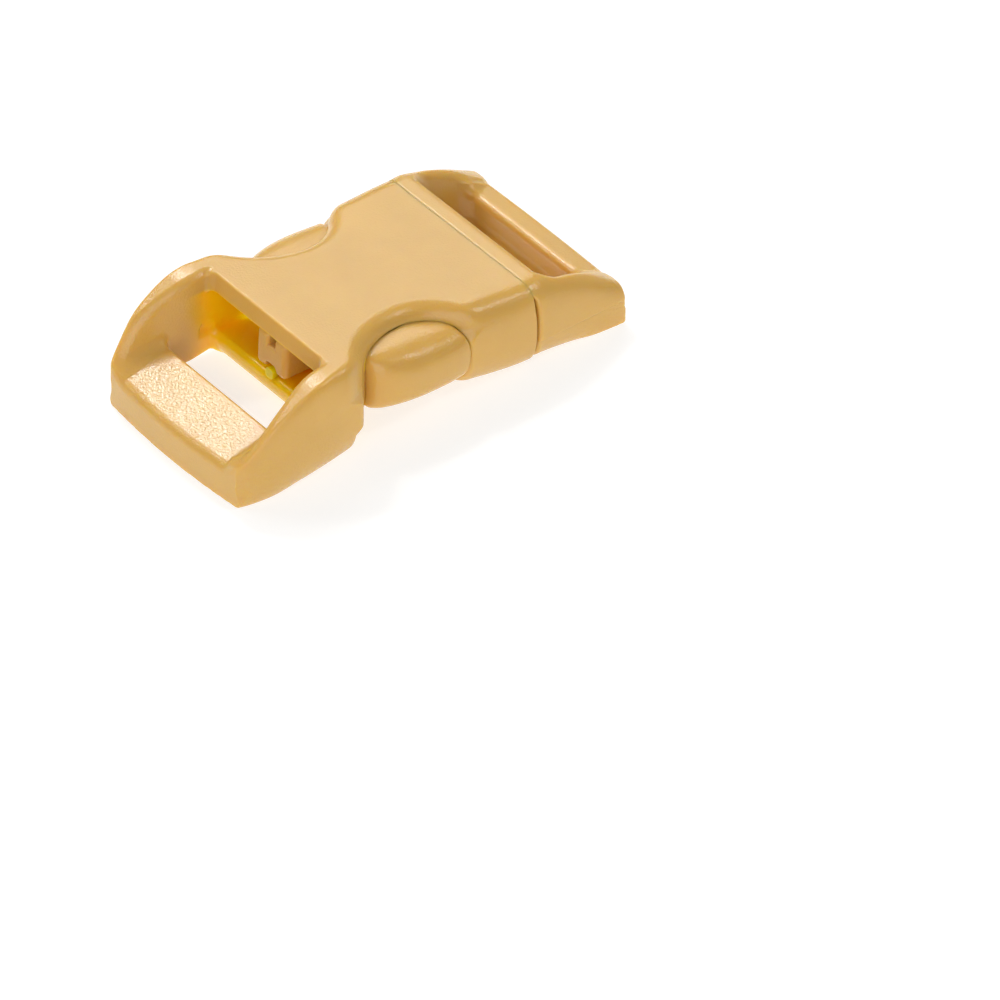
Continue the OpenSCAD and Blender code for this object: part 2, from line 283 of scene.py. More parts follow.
def housing(x, y, z):
    """The housing: two plates on two side rails, a tail bar and a mouth ring."""
    y = np.abs(y)
    e = EDGE
    body = distance(housing_outside, x, y, z)
    upright = ease((y - 6.0) / 1.5) * ease((z - 0.3) / 1.2) * (0.45 + 0.55 * ease((4.6 - z) / 1.2))
    corner_r = e["tail_foot"] + (e["tail_corner"] - e["tail_foot"]) * upright
    body = both(body, bow(0, 1, TAIL_BOW, x, y), corner_r)
    body = both(body, -z + 0 * x, FOOT_EDGE)
    # The top runs on a little under the plug's flange.
    mouth_r = e["mouth"] + (e["groove"] - e["mouth"]) * ease((SEAM_H - z) / 1.5)
    body = both(body, x - HOUSING_LEN - SEAM_LAP * ease((z - SEAM_H) / 0.3) + 0 * y, mouth_r)
    # The scallops that bare the heads.
    dx = x - SCALLOP_X
    radius = np.where(dx < 0, SCALLOP_TAIL_R, SCALLOP_MOUTH_R)
    scallop = np.sqrt(dx ** 2 + (y - WAIST_HALF - radius) ** 2) - radius
    scallop = scallop - 0.7 * ease((3.8 - z) / 0.9) * ease((MIDDLE_X - x) / 2)
    edge_r = e["window"] + (e["scallop"] - e["window"]) * ease((z - 6.3) / 1.2)
    edge_r = edge_r + 0.3 * ease((3 - z) / 1.5)
    body = both(body, -scallop, edge_r)
    # The webbing's way over the tail bar and down through the slot.
    bar = both(left_of(x, z, 0, BAR_EDGE_H, TAIL_BAR_D, BAR_BACK_H), x - TAIL_BAR_D, e["bar"])
    lip_x, lip_h = TAIL_SLOT_X + 0.1, FLOOR_EDGE_H - FLOOR_WALL
    lip = both(left_of(x, z, lip_x, lip_h, TAIL_SLOT_X + 0.25, FLOOR_EDGE_H),
               left_of(x, z, lip_x + 0.9, lip_h - 1.4, lip_x, lip_h), 0.4)
    plate = left_of(x, z, TAIL_SLOT_X, CEILING_EDGE_H, TAIL_SLOT_X + 0.15, CROWN_H - 0.1)
    high = ease((z - 4.2) / 2.2)
    room = np.maximum(-bar, -high * plate - (1 - high) * lip)
    crest = CROWN_H * column(HOUSING_SECTIONS, x / HOUSING_LEN, 2)
    up_rail = (z - RAIL_TURN_H) / np.maximum(crest - RAIL_TURN_H, 1)
    lean = column(RAIL_LEAN, x, 1) * ramp(up_rail)
    corner_r = e["slot_corner"] + 0.3 * ease((6.5 - x) / 1.5) * ease((z - 2.5) / 1.5)
    void = both(room, y - SLOT_HALF - lean, corner_r)
    rail = ease((y - 7.5) / 0.8)
    edge_r = e["slot_edge"] + 0.6 * ease((2.8 - x) / 1.8) * (1 - rail)
    edge_r = edge_r + (e["crest"] - e["slot_edge"]) * rail
    by_bar = ease((x - 4.4) / 0.6) * (1 + 0.9 * ease((9.0 - x) / 2.5))
    edge_r = edge_r + (e["rail_foot"] - e["crest"]) * rail * ease((2.6 - z) / 1.5) * by_bar
    body = both(body, -void, edge_r)
    # The cavity that the plug fills. Towards the windows it closes round each head.
    between = np.maximum(z - ceiling_z(x), floor_z(x) - z)
    half = SLOT_HALF + (MOUTH_HALF - SLOT_HALF) * ease((x - STEP_X) / 0.8)
    cavity = np.maximum(both(between, y - half, e["cavity"]), TAIL_SLOT_X - 1 - x)
    lx, _, lz = to_mouth(x, y, z)
    window = head_side(lx, lz) - FIT_GAP
    fit = np.minimum(window, np.maximum(np.abs(lz) - NECK_H / 2 - 0.4, y - 9.1))
    closed = np.maximum(np.maximum(STEP_X + 0.3 - x, x - CATCH_X - 1.2), np.maximum(6.3 - y, -fit))
    edge_r = 0.1 + 0.5 * ease((5.0 - z) / 1.0) * ease((12.2 - x) / 1.0)
    body = both(body, -both(cavity, -closed, 0.05), edge_r)
    return both(body, -np.maximum(window, 1.8 - y), 0.08)


def head_end(x, z):
    """Distance outside the heads' rounded end towards the mouth, in the mouth frame."""
    away = np.maximum(x - HEAD_X + HEAD_END, 0) / HEAD_END
    high = 1.12 * head_high(x, z)
    return ((away ** 2.5 + (np.abs(z) / high) ** 2.5) ** 0.4 - 1) * high


def head_side(x, z):
    """Distance outside the heads' outline in the side view, in the mouth frame."""
    side = both(head_end(x, z), np.abs(z) - head_high(x, z), 0.5)
    return both(side, HEAD_X - HEAD_LEN - x, 0.5)


def head_high(x, z):
    """Half the height of a head along it, more above its middle than below."""
    s = 1 + (x - HEAD_X) / HEAD_LEN
    above = 1.19 + 0.07 * ease(s / 0.4) - 0.07 * ease((s - 0.5) / 0.4)
    return HEAD_H / 2 * column(HEAD_SECTIONS, s, 3) * np.where(z > 0, above, 1.14)


def to_mouth(x, y, z):
    """Places in the frame of the plug's inside parts, which tilt with the cavity."""
    c, s = np.cos(RISE), np.sin(RISE)
    dx, dz = x - HOUSING_LEN, z - MOUTH_MID_H
    return c * dx - s * dz, y, s * dx + c * dz


def block(x, y, z, low, high, r):
    """A block between two corners, with edges of radius r."""
    px = np.abs(x - (low[0] + high[0]) / 2) - (high[0] - low[0]) / 2
    py = np.abs(y - (low[1] + high[1]) / 2) - (high[1] - low[1]) / 2
    pz = np.abs(z - (low[2] + high[2]) / 2) - (high[2] - low[2]) / 2
    return both(both(px, py, r), pz, r)


def plug_frame(x, y, z):
    """The plug without its arms: flange, rails, end bar, web and tongue."""
    y = np.abs(y)
    body = distance(plug_outside, x, y, z)
    # A low step along each side's foot.
    body = body + 0.09 * ease((2.75 - z) / 0.12) * ease((y - 9.5) / 0.5)
    end_r = 0.22 + 0.85 * ease((9.2 - y) / 1.5) * ease((z - 1.5) / 1.5)
    body = both(body, bow(TOTAL_LEN, -1, PLUG_BOW, x, y), end_r)
    body = both(body, -z + 0 * x, FOOT_EDGE)
    lap = FLANGE_LAP * ease((z - 7.0) / 1.2)
    flange_r = FLANGE_EDGE + (EDGE["groove"] - FLANGE_EDGE) * ease((SEAM_H - z) / 1.5)
    body = both(body, FRAME_X - lap - x + 0 * y, flange_r)
    # The slot between the crossbar and the end bar.
    front = left_of(x, z, CROSSBAR_X + 0.3, 0, CROSSBAR_X, CROSSBAR_H)
    back = left_of(x, z, RIDGE_X + 0.5, 1.5, RIDGE_X, RIDGE_H)
    foot = left_of(x, z, RIDGE_X - 0.9, 0.3, RIDGE_X + 0.45, 1.7)
    top = left_of(x, z, RIDGE_X, RIDGE_H, TOTAL_LEN - 0.5, END_BAR_H)
    bar = both(either(back, foot, 0.3), top, 0.9)
    lean = 1.1 * ease((x - CROSSBAR_X + 0.5) / 2.5) * ramp((z - 4.9) / 3.0)
    corner_r = 0.8 + 0.8 * ease((x - CROSSBAR_X - 2) / 2) * ease((RIDGE_X + 2 - x) / 1.5)
    void = both(np.maximum(front, -bar), y - SLOT_HALF - lean, corner_r)
    rail = ease((y - 7.5) / 0.8)
    body = both(body, -void, 0.18 + 0.62 * rail)
    # The parts inside the mouth: the web, the arms' seats and the tongue over the guide rib.
    lx, ly, lz = to_mouth(x, y, z)
    w, h = MOUTH_HALF - WEB_GAP, MOUTH_H / 2 - 2 * WEB_GAP
    web = block(lx, ly, lz, (-WEB_D, -w, -h), (1.0, w, h), 0.25)
    seat = block(lx, ly - ARM_Y, lz, (ROOT_X - 0.3, -0.8, -1.6), (0.0, 0.8, 1.6), 0.3)
    half_h = TONGUE_H / 2
    tongue = block(lx, ly, lz, (-TONGUE_LEN, -TONGUE_HALF, -half_h), (0, TONGUE_HALF, half_h), 0.55)
    past = lx - np.clip(lx, 4.2 - TONGUE_LEN, -2.3)
    groove = np.maximum(np.sqrt(past ** 2 + ly ** 2) - GROOVE_HALF, half_h - GROOVE_D - lz)
    notch = both(np.maximum(ly - 0.45, half_h - 1.3 - lz), lx + TONGUE_LEN - 2.0, 0.3)
    tongue = both(tongue, -np.minimum(groove, notch), 0.3)
    under = RIB_H - MOUTH_H / 2 + 3 * RIB_GAP
    arch = np.maximum(both(ly - RIB_HALF - RIB_GAP, lz - under, 0.5), lx + WEB_D + 0.9)
    tongue = both(tongue, -arch, 0.2)
    inside = either(either(web, tongue, 0.4), seat, 0.4)
    inside = np.maximum(inside, x - FRAME_X - 1)
    return either(body, inside, 0.05)


def head_level(x, y, z):
    """The arm's head in the mouth frame. 1 on the surface."""
    s = 1 + (x - HEAD_X) / HEAD_LEN
    inner = ARM_Y + HEAD_OUT - HEAD_T * column(HEAD_SECTIONS, s, 1)
    outer = ARM_Y + HEAD_OUT - HEAD_T * column(HEAD_SECTIONS, s, 2)
    outside = 1.3 * (outer - inner) / 2
    inside = np.minimum(0.6, 0.35 * (outer - inner))
    u = np.where(y > outer - outside, (y - outer + outside) / outside,
                 np.maximum(inner + inside - y, 0) / inside)
    p = np.where(z > 0, 2.35, 3.0)
    return (u ** p + (np.abs(z) / head_high(x, z)) ** p) ** (1 / p)


def arm(x, y, z):
    """The left arm: neck and head."""
    x, y, z = to_mouth(x, y, z)
    head = both(distance(head_level, x, y, z, least=0.25), head_end(x, z), 0.3)
    head = both(head, HEAD_X - HEAD_LEN - x, 0.5)
    neck = block(x, y - ARM_Y, z, (HEAD_X - 1.5, -NECK_HALF, -NECK_H / 2),
                 (-1.6, NECK_HALF, NECK_H / 2), 0.3)
    return either(head, neck, 0.6)


def grid_field(field, low, high, step, mirrored):
    """A field's values on a grid, worked out for one half where both are alike."""
    count = [int(np.ceil((b - a) / step)) + 1 for a, b in zip(low, high)]
    xs, ys, zs = (a + step * np.arange(n) for a, n in zip(low, count))
    m = count[1] // 2
    if mirrored:
        ys = step * np.arange(-m, m + 1)
    half = ys[m:] if mirrored else ys
    # A few sheets of the grid at a time, which keeps the memory low.
    values = np.concatenate([field(xs[i:i + 12, None, None], half[None, :, None], zs[None, None])
                             for i in range(0, len(xs), 12)])
    if mirrored:
        values = np.concatenate([values[:, :0:-1], values], 1)
    return values, np.array([xs[0], ys[0], zs[0]])


def gradient(field, points, step=0.01):
    """The direction in which a field grows, and how fast."""
    x, y, z = points.T
    return np.stack([field(x + step, y, z) - field(x - step, y, z),
                     field(x, y + step, z) - field(x, y - step, z),
                     field(x, y, z + step) - field(x, y, z - step)], 1) / (2 * step)


def settle(field, points, step, rounds):
    """Moves points onto the surface of a field, by no more than half a grid step a round."""
    for _ in range(rounds):
        g = gradient(field, points)
        move = -field(*points.T)[:, None] * g / np.maximum((g * g).sum(1), 0.05)[:, None]
        size = np.linalg.norm(move, axis=1)
        points = points + move * np.minimum(1, 0.5 * step / np.maximum(size, 1e-9))[:, None]
    return points


def surface_of(field, low, high, step, mirrored=True, rounds=3):
    """Points and outward quads of a closed surface, from the field's sign changes."""
    values, origin = grid_field(field, low, high, step, mirrored)
    inside = values < 0
    shape = np.array(values.shape) - 1
    corners = np.array([(a, b, c) for a in (0, 1) for b in (0, 1) for c in (0, 1)])
    count = sum(inside[a:a + shape[0], b:b + shape[1], c:c + shape[2]].astype(np.int8)
                for a, b, c in corners)
    cells = np.argwhere((count > 0) & (count < 8))
    index = np.full(shape, -1, np.int64)
    index[tuple(cells.T)] = np.arange(len(cells))
    total, hits = np.zeros((len(cells), 3)), np.zeros(len(cells))
    for p in corners:
        for axis in np.flatnonzero(p == 0):
            q = p.copy()
            q[axis] = 1
            fp, fq = values[tuple((cells + p).T)], values[tuple((cells + q).T)]
            cross = (fp < 0) != (fq < 0)
            t = np.where(cross, fp / np.where(cross, fp - fq, 1), 0)
            total += np.where(cross[:, None], p + t[:, None] * (q - p), 0)
            hits += cross
    points = origin + step * (cells + total / hits[:, None])
    quads = []
    for axis in range(3):
        u, v = (axis + 1) % 3, (axis + 2) % 3
        first = np.take(inside, range(shape[axis]), axis)
        edge = np.argwhere(first != np.take(inside, range(1, shape[axis] + 1), axis))
        edge = edge[(edge[:, u] > 0) & (edge[:, v] > 0)
                    & (edge[:, u] < shape[u]) & (edge[:, v] < shape[v])]
        du, dv = np.eye(3, dtype=int)[u], np.eye(3, dtype=int)[v]
        ring = np.stack([index[tuple((edge - d).T)] for d in (du + dv, dv, 0 * du, du)], 1)
        flip = ~first[tuple(edge.T)]
        ring[flip] = ring[flip][:, ::-1]
        quads.append(ring)
    return settle(field, points, step, rounds), np.concatenate(quads)


def linear(colour):
    """A colour as seen, such as "E6C58C", as the linear values that a shader takes."""
    rgb = [int(colour[i:i + 2], 16) / 255 for i in (0, 2, 4)]
    return (*(c / 12.92 if c <= 0.04045 else ((c + 0.055) / 1.055) ** 2.4 for c in rgb), 1.0)


class BuckleShape(bpy.types.PropertyGroup):
    """Edge roundings and fineness of the buckle's pieces."""
    grid: FloatProperty(name="Grid", description="Spacing of the grid that the pieces are drawn on",
                        default=0.00011, min=0.00008, max=0.0005, precision=5,
                        unit="LENGTH", subtype="DISTANCE")
    tail_corner: FloatProperty(name="Tail corner",
                               description="Radius of the tail's upright corners",
                               default=0.0008, precision=5, unit="LENGTH",
                               subtype="DISTANCE")
    crest: FloatProperty(name="Rail crest", description="Radius along the inner top of the rails",
                         default=0.0008, precision=5, unit="LENGTH", subtype="DISTANCE")
    scallop: FloatProperty(name="Scallop", description="Radius round the top of each scallop",
                           default=0.0016, precision=5, unit="LENGTH", subtype="DISTANCE")
    slot_edge: FloatProperty(name="Slot edge",
                             description="Radius of the top plate's edge at the slot",
                             default=0.00018, precision=5, unit="LENGTH", subtype="DISTANCE")
    mouth: FloatProperty(name="Mouth edge", description="Radius round the mouth's outer edge",
                         default=0.00006, precision=5, unit="LENGTH", subtype="DISTANCE")


class BuckleFinish(bpy.types.PropertyGroup):
    """Colours and surface of the moulded plastic."""
    plastic: FloatVectorProperty(name="Plastic", description="Colour of the moulded plastic",
                                 default=linear("D9AE5C")[:3], size=3, min=0, max=1,
                                 subtype="COLOR")
    # Painted glow: a deeper yellow painted into the cavity, which stands in for light coming
    # through the thin walls.
    painted_glow: FloatVectorProperty(name="Inside",
                              description="Colour where light comes through the thin walls",
                              default=linear("FFCE0B")[:3], size=3, min=0, max=1, subtype="COLOR")
    floor: FloatVectorProperty(name="Floor", description="Colour of the studio floor",
                               default=linear("AAAAA9")[:3], size=3, min=0, max=1, subtype="COLOR")
    glow: FloatProperty(name="Floor glow", description="Light from below, as of a lit white table",
                        default=0.7, min=0, max=2, subtype="FACTOR")
    roughness: FloatProperty(name="Roughness", description="Roughness of the satin surface",
                             default=0.24, min=0, max=1, subtype="FACTOR")
    grain: FloatProperty(name="Grain", description="Width of one grain of the mould's texture",
                         default=0.0002, precision=5, unit="LENGTH", subtype="DISTANCE")


class BuckleStage(bpy.types.PropertyGroup):
    """The floor, the lights and the camera."""
    sheen: FloatProperty(name="Softbox", description="Power of the wide softbox behind the part",
                         default=0.8, min=0, unit="POWER")
    key: FloatProperty(name="Key light", description="Power of the small light behind and above",
                       default=0.5, min=0, unit="POWER")
    rim: FloatProperty(name="Edge light",
                       description="Power of the small light that draws the edges",
                       default=0.4, min=0, unit="POWER")
    front: FloatProperty(name="Front light", description="Power of the low light in front",
                         default=1.0, min=0, unit="POWER")
    fill: FloatProperty(name="Fill light", description="Power of the small light from the right",
                        default=0.3, min=0, unit="POWER")
    sky: FloatProperty(name="Surround", description="Strength of the white surround",
                       default=0.2, min=0, max=4, subtype="FACTOR")
    lens: FloatProperty(name="Lens", description="Focal length of the camera, on a 36 mm frame",
                        default=357.12, unit="CAMERA")


def add(tree, kind, inputs=None, **settings):
    """Adds a node with its settings, and sets or links its inputs."""
    made = tree.nodes.new(kind)
    for name, value in settings.items():
        setattr(made, name, value)
    for name, value in (inputs or {}).items():
        if isinstance(value, bpy.types.NodeSocket):
            tree.links.new(value, made.inputs[name])
        else:
            made.inputs[name].default_value = value
    return made


def moulded_acetal(name, finish, inside=None):
    """Acetal, injection moulded in a finely eroded tool: satin, with a grain that glints where the
    light meets it. Where an inside share is given, the colour is painted a deeper yellow towards
    the housing's cavity: a painted glow that stands in for light coming through the thin walls.
    Light also goes deeper into the plastic there."""
    found = bpy.data.materials.get(name)
    if found:
        return found
    mat = bpy.data.materials.new(name)
    mat.use_nodes = True
    tree = mat.node_tree
    tree.nodes.clear()
    place = add(tree, "ShaderNodeTexCoord").outputs["Object"]
    mottle = add(tree, "ShaderNodeTexNoise", {
        "Vector": place, "Scale": 1 / MOTTLE_SIZE, "Detail": 2.0}).outputs["Fac"]
    tone = add(tree, "ShaderNodeMapRange", {
        "Value": mottle, "From Min": 0.3, "From Max": 0.7,
        "To Min": 0.965, "To Max": 1.03}).outputs["Result"]
    # Real erosion grain is about 0.05 mm wide: this is drawn coarser, so that it shows.
    grain = add(tree, "ShaderNodeTexNoise", {
        "Vector": place, "Scale": 1 / finish.grain, "Detail": 1.0}).outputs["Fac"]
    plain, roughness, depth = finish.plastic, finish.roughness, WALL_DEPTH
    if inside:
        # Painted glow: inside the cavity the colour is mixed towards a deeper yellow, which stands
        # in for light coming through the thin walls.
        share = inside(tree, place)
        plain = add(tree, "ShaderNodeMix", {
            "Factor": share, 6: (*finish.plastic, 1), 7: (*finish.painted_glow, 1)},
            data_type="RGBA").outputs["Result"]
        depth = add(tree, "ShaderNodeMapRange", {
            "Value": share, "To Min": WALL_DEPTH, "To Max": CAVITY_DEPTH}).outputs["Result"]
        # The tail bar's facets are bigger and glossier, and glint one by one.
        along = add(tree, "ShaderNodeSeparateXYZ", {"Vector": place}).outputs["X"]
        ends = {"Value": along, "From Min": (TAIL_BAR_D + 1 - MIDDLE_X) * MM,
                "From Max": (TAIL_BAR_D - MIDDLE_X) * MM}
        coarse = add(tree, "ShaderNodeMapRange", {
            **ends, "To Min": 1.0, "To Max": BAR_COARSE}).outputs["Result"]
        grain = add(tree, "ShaderNodeMath", {0: grain, 1: coarse}, operation="MULTIPLY").outputs[0]
        roughness = add(tree, "ShaderNodeMapRange", {
            **ends, "To Min": finish.roughness, "To Max": BAR_ROUGHNESS}).outputs["Result"]
    colour = add(tree, "ShaderNodeVectorMath", {0: plain, 1: tone}, operation="MULTIPLY")
    bump = add(tree, "ShaderNodeBump", {"Height": grain, "Strength": 1.0, "Distance": GRAIN_DEPTH})
    shader = add(tree, "ShaderNodeBsdfPrincipled", {
        "Base Color": colour.outputs["Vector"], "Normal": bump.outputs["Normal"],
        "Roughness": roughness, "IOR": 1.48, "Subsurface Weight": 1.0,
        "Subsurface Radius": (1.0, 0.75, 0.2), "Subsurface Scale": depth})
    out = add(tree, "ShaderNodeOutputMaterial")
    tree.links.new(shader.outputs["BSDF"], out.inputs["Surface"])
    return mat


def share_between(tree, value, low, high):
    """0 where value is low or less, 1 where it is high or more, and smooth between."""
    return add(tree, "ShaderNodeMapRange", {"Value": value, "From Min": low, "From Max": high},
               interpolation_type="SMOOTHSTEP").outputs["Result"]


def painted_glow_share(tree, place):
    """How far inside the housing a place is, behind the tail slot: the share of painted glow, a
    deeper yellow that stands in for light coming through the thin walls.
    """
    return box_share(tree, place, (TAIL_SLOT_X - 1.4, STEP_X + 1.5), 8.5, 8.4, 1.8)


def box_share(tree, place, along, side, top, soft):
    """1 inside a box that is given in mm from the tail, and 0 outside it, with soft borders."""
    xyz = add(tree, "ShaderNodeSeparateXYZ", {"Vector": place}).outputs
    across = add(tree, "ShaderNodeMath", {0: xyz["Y"]}, operation="ABSOLUTE").outputs[0]
    near, far = (x - MIDDLE_X for x in along)
    shares = [share_between(tree, value, low * MM, high * MM) for value, low, high in (
        (xyz["X"], near - soft, near + soft), (xyz["X"], far + soft, far - soft),
        (across, side + 0.3, side - 0.2), (xyz["Z"], top + 0.25, top - 0.25))]
    product = shares[0]
    for share in shares[1:]:
        product = add(tree, "ShaderNodeMath", {0: product, 1: share},
                      operation="MULTIPLY").outputs[0]
    return product


def piece(name, field, low, high, grid, mirrored):
    """A closed piece from a field, in metres in the part's own frame."""
    points, quads = surface_of(field, low, high, grid, mirrored)
    mesh = bpy.data.meshes.new(name)
    mesh.from_pydata(((points - [MIDDLE_X, 0, 0]) * MM).tolist(), [], quads.tolist())
    made = bpy.data.objects.new(name, mesh)
    bpy.context.scene.collection.objects.link(made)
    return made


def finish_piece(made, field, mat, limit=190000, turn=1):
    """Thins a piece to its limit of triangles and gives it the field's own normals."""
    mesh = made.data
    triangles = 2 * len(mesh.polygons)
    if triangles > limit:
        thin = made.modifiers.new("thin", "DECIMATE")
        thin.ratio = limit / triangles
        bpy.context.view_layer.update()
        graph = bpy.context.evaluated_depsgraph_get()
        mesh = bpy.data.meshes.new_from_object(made.evaluated_get(graph))
        made.modifiers.clear()
        made.data = mesh
    mesh.name = made.name
    co = np.empty(3 * len(mesh.vertices))
    mesh.vertices.foreach_get("co", co)
    points = co.reshape(-1, 3) / MM + [MIDDLE_X, 0, 0]
    points[:, 1] *= turn
    normals = gradient(field, points)
    normals[:, 1] *= turn
    normals /= np.maximum(np.linalg.norm(normals, axis=1), 1e-9)[:, None]
    mesh.polygons.foreach_set("use_smooth", np.ones(len(mesh.polygons), bool))
    mesh.normals_split_custom_set_from_vertices(normals.tolist())
    mesh.materials.clear()
    mesh.materials.append(mat)


def grid_step(shape):
    """The grid's spacing in mm."""
    return shape.grid / MM


class BUCKLE_OT_housing(bpy.types.Operator):
    """Make the housing"""
    bl_idname = "buckle.housing"
    bl_label = "Housing"

    def execute(self, context):
        shape, finish = context.scene.buckle_shape, context.scene.buckle_finish
        for name in ("tail_corner", "crest", "scallop", "slot_edge", "mouth"):
            EDGE[name] = getattr(shape, name) / MM
        made = piece("housing_shell", housing, (-0.5, -11.4, -0.3), (32.95, 11.4, 10.9),
                     grid_step(shape), True)
        finish_piece(made, housing, moulded_acetal("moulded_acetal_housing", finish, painted_glow_share))
        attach(made, "buckle")
        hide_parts("housing")
        return {"FINISHED"}


def rib_tree():
    """Geometry Nodes: a rounded bar along a line between two points."""
    tree = bpy.data.node_groups.new("guide_rib", "GeometryNodeTree")
    sockets = {}
    for name, kind in (("Start", "Vector"), ("End", "Vector"), ("Width", "Float"),
                       ("Rounding", "Float"), ("Material", "Material")):
        sockets[name] = tree.interface.new_socket(
            name, in_out="INPUT", socket_type="NodeSocket" + kind).identifier
    tree.interface.new_socket("Geometry", in_out="OUTPUT", socket_type="NodeSocketGeometry")
    given = add(tree, "NodeGroupInput").outputs
    line = add(tree, "GeometryNodeCurvePrimitiveLine", {
        "Start": given["Start"], "End": given["End"]})
    outline = add(tree, "GeometryNodeCurvePrimitiveQuadrilateral", {
        "Width": given["Width"], "Height": given["Width"]})
    soft = add(tree, "GeometryNodeFilletCurve", {
        "Curve": outline.outputs["Curve"], "Radius": given["Rounding"], "Count": 5}, mode="POLY")
    bar = add(tree, "GeometryNodeCurveToMesh", {
        "Curve": line.outputs["Curve"], "Profile Curve": soft.outputs["Curve"], "Fill Caps": True})
    real = add(tree, "GeometryNodeRealizeInstances", {"Geometry": bar.outputs["Mesh"]})
    done = add(tree, "GeometryNodeSetMaterial", {
        "Geometry": real.outputs["Geometry"], "Material": given["Material"]})
    add(tree, "NodeGroupOutput", {"Geometry": done.outputs["Geometry"]})
    return tree, sockets


class BUCKLE_OT_rib(bpy.types.Operator):
    """Make the guide rib on the housing's floor"""
    bl_idname = "buckle.rib"
    bl_label = "Guide rib"

    def execute(self, context):
        tree, sockets = rib_tree()
        mat = moulded_acetal("moulded_acetal_housing", context.scene.buckle_finish, painted_glow_share)
        start, end = (((x - MIDDLE_X) * MM, 0, (floor_z(x) + RIB_H - RIB_HALF) * MM)
                      for x in (TAIL_SLOT_X + 0.15, HOUSING_LEN - 2.2))
        made = bpy.data.objects.new("guide_rib", bpy.data.meshes.new("guide_rib"))
        context.scene.collection.objects.link(made)
        grow = made.modifiers.new("guide_rib", "NODES")
        grow.node_group = tree
        for name, value in (("Start", start), ("End", end), ("Width", 2 * RIB_HALF * MM),
                            ("Rounding", 0.3 * MM), ("Material", mat)):
            grow[sockets[name]] = value
        context.view_layer.update()
        graph = context.evaluated_depsgraph_get()
        mesh = bpy.data.meshes.new_from_object(made.evaluated_get(graph))
        made.modifiers.clear()
        made.data = mesh
        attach(made, "buckle")
        return {"FINISHED"}


class BUCKLE_OT_plug(bpy.types.Operator):
    """Make the plug's frame"""
    bl_idname = "buckle.plug"
    bl_label = "Plug frame"

    def execute(self, context):
        shape, finish = context.scene.buckle_shape, context.scene.buckle_finish
        made = piece("plug_shell", plug_frame, (11.2, -11.4, -0.3), (43.4, 11.4, 9.2),
                     grid_step(shape), True)
        finish_piece(made, plug_frame, moulded_acetal("moulded_acetal_plug", finish))
        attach(made, "buckle")
        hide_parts("plug_frame")
        return {"FINISHED"}


class BUCKLE_OT_arms(bpy.types.Operator):
    """Make the two release arms"""
    bl_idname = "buckle.arms"
    bl_label = "Release arms"

    def execute(self, context):
        shape, finish = context.scene.buckle_shape, context.scene.buckle_finish
        mat = moulded_acetal("moulded_acetal_arm", finish)
        for side, turn in (("left", 1), ("right", -1)):
            made = piece("arm_" + side, arm, (14.8, 5.4, 1.6), (31.6, 11.4, 9.2),
                         grid_step(shape) * 0.8, False)
            if turn < 0:
                made.data.transform(Matrix.Diagonal((1, -1, 1, 1)))
                made.data.flip_normals()
            finish_piece(made, arm, mat, turn=turn)
            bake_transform(made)
            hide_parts("release_arm_" + side)
        return {"FINISHED"}


class BUCKLE_OT_stage(bpy.types.Operator):
    """Make the floor, the lights and the camera"""
    bl_idname = "buckle.stage"
    bl_label = "Stage"

    def execute(self, context):
        scene = context.scene
        stage, finish = scene.buckle_stage, scene.buckle_finish
        # Matt white paper on a light table, which throws no hard shadow.
        mat = bpy.data.materials.new("studio_paper")
        mat.use_nodes = True
        shader = mat.node_tree.nodes["Principled BSDF"]
        shader.inputs["Base Color"].default_value = (*finish.floor, 1)
        shader.inputs["Roughness"].default_value = 0.9
        shader.inputs["Emission Color"].default_value = (1, 1, 1, 1)
        shader.inputs["Emission Strength"].default_value = finish.glow
        mesh = bpy.data.meshes.new("studio_floor")
        mesh.from_pydata([(x * FLOOR_HALF, y * FLOOR_HALF, -FLOOR_DROP)
                          for x, y in ((-1, -1), (1, -1), (1, 1), (-1, 1))], [], [(0, 1, 2, 3)])
        mesh.materials.append(mat)
        floor = bpy.data.objects.new("studio_floor", mesh)
        scene.collection.objects.link(floor)
        world = bpy.data.worlds.new("studio")
        world.use_nodes = True
        surround = world.node_tree.nodes["Background"]
        surround.inputs["Color"].default_value = (1, 1, 1, 1)
        surround.inputs["Strength"].default_value = stage.sky
        scene.world = world
        # Each light: the way to it, the way its long side runs, its two sides and its power.
        for name, toward, along, wide, painted_glow, power in (
                ("softbox", (0.38, 0.60, 0.70), (1, 0, 0), 0.40, 0.22, stage.sheen),
                ("key", (0.134, 0.584, 0.80), (1, 0, 0), 0.06, 0.06, stage.key),
                ("rim", (-0.33, 0.584, 0.742), (0.91, 0, 0.41), 0.28, 0.02, stage.rim),
                ("front", (-0.65, -0.65, 0.40), (1, 0, 0), 0.40, 0.40, stage.front),
                ("fill", (0.477, -0.467, 0.745), (1, 0, 0), 0.08, 0.08, stage.fill)):
            lamp = bpy.data.lights.new(name, "AREA")
            lamp.shape, lamp.energy = "RECTANGLE", power
            lamp.size, lamp.size_y = wide, painted_glow
            light = bpy.data.objects.new(name, lamp)
            toward = Vector(toward).normalized()
            across = toward.cross(Vector(along)).normalized()
            turned = Matrix((across.cross(toward), across, toward)).transposed().to_quaternion()
            light.matrix_world = Matrix.LocRotScale(toward * LIGHT_AWAY, turned, None)
            scene.collection.objects.link(light)
        camera = bpy.data.objects.new("camera", bpy.data.cameras.new("camera"))
        camera.data.sensor_width = 36
        camera.data.lens = stage.lens
        camera.data.clip_start, camera.data.clip_end = 0.01, 10
        camera.matrix_world = photo_view()
        scene.collection.objects.link(camera)
        scene.camera = camera
        scene.view_settings.view_transform = "Standard"
        return {"FINISHED"}


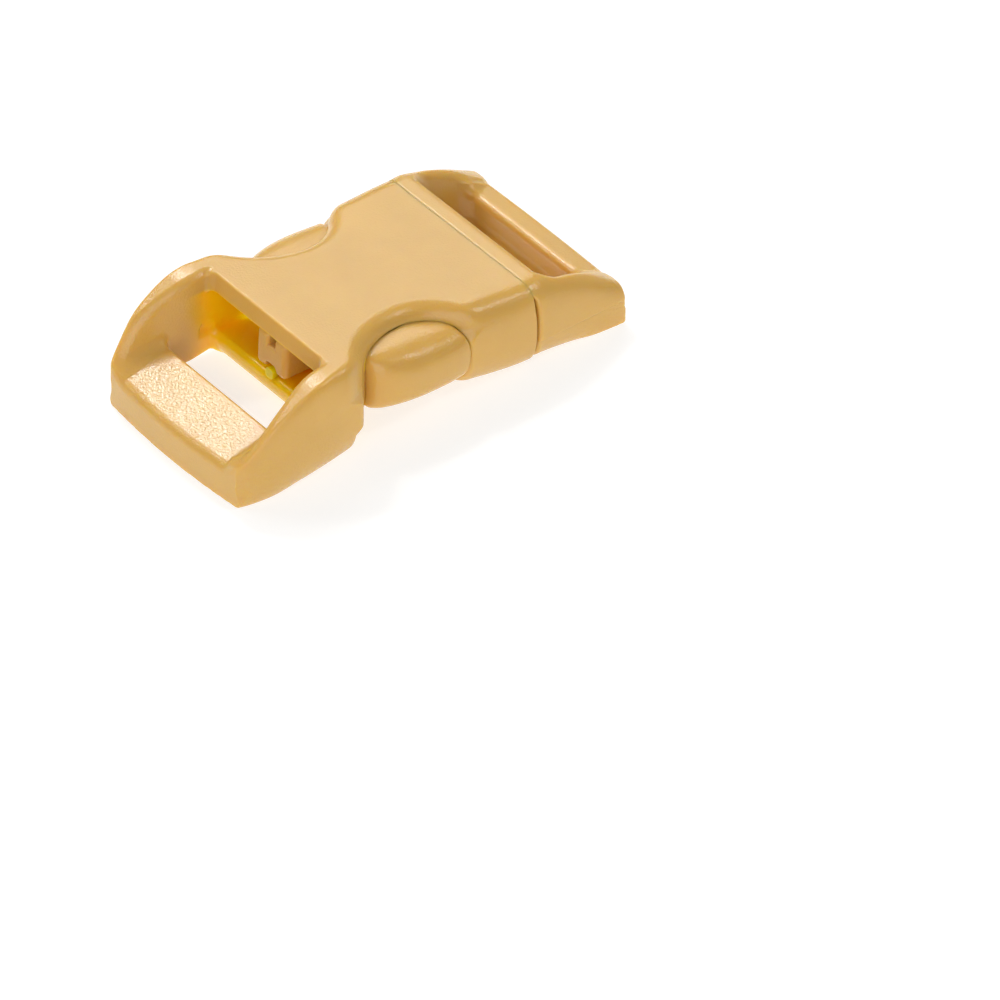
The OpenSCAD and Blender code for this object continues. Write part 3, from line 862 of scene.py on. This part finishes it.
def photo_view():
    """Where the camera stands, from the buckle's turn and shift under the photo's view."""
    elevation, away = np.radians(41.05), 859.6
    turn, shift = np.radians(39.22), np.array([-28.81, 5.50, 0.0])
    forward = np.array([0, np.cos(elevation), -np.sin(elevation)])
    right = np.array([1.0, 0, 0])
    up = np.cross(right, forward)
    c, s = np.cos(turn), np.sin(turn)
    back = np.array([[c, s, 0], [-s, c, 0], [0, 0, 1]])
    centre = back @ (-away * forward - shift) - [MIDDLE_X, 0, 0]
    axes = np.stack([back @ right, back @ up, back @ -forward], 1)
    view = Matrix.Identity(4)
    for i in range(3):
        view[i][:3] = axes[i]
        view[i][3] = centre[i] * MM
    return view


class BUCKLE_PT_panel(bpy.types.Panel):
    """The buckle's sizes, colours and pieces"""
    bl_idname = "BUCKLE_PT_panel"
    bl_label = "Side release buckle"
    bl_space_type = "VIEW_3D"
    bl_region_type = "UI"
    bl_category = "Buckle"

    def draw(self, context):
        for attribute in GROUPS:
            group = getattr(context.scene, attribute)
            box = self.layout.box()
            for name in group.bl_rna.properties.keys():
                if name not in ("rna_type", "name"):
                    box.prop(group, name)
        for operator in OPERATORS:
            self.layout.operator(operator.bl_idname)


GROUPS = {"buckle_shape": BuckleShape, "buckle_finish": BuckleFinish, "buckle_stage": BuckleStage}
OPERATORS = (BUCKLE_OT_housing, BUCKLE_OT_rib, BUCKLE_OT_plug, BUCKLE_OT_arms, BUCKLE_OT_stage)


def register():
    for name, group in GROUPS.items():
        bpy.utils.register_class(group)
        setattr(bpy.types.Scene, name, PointerProperty(type=group))
    for made in (*OPERATORS, BUCKLE_PT_panel):
        bpy.utils.register_class(made)


def unregister():
    for made in (BUCKLE_PT_panel, *reversed(OPERATORS)):
        bpy.utils.unregister_class(made)
    for name, group in GROUPS.items():
        delattr(bpy.types.Scene, name)
        bpy.utils.unregister_class(group)


def main():
    """Makes every piece and the stage."""
    register()
    bpy.ops.buckle.housing()
    bpy.ops.buckle.rib()
    bpy.ops.buckle.plug()
    bpy.ops.buckle.arms()
    bpy.ops.buckle.stage()


if __name__ == "__main__":
    main()
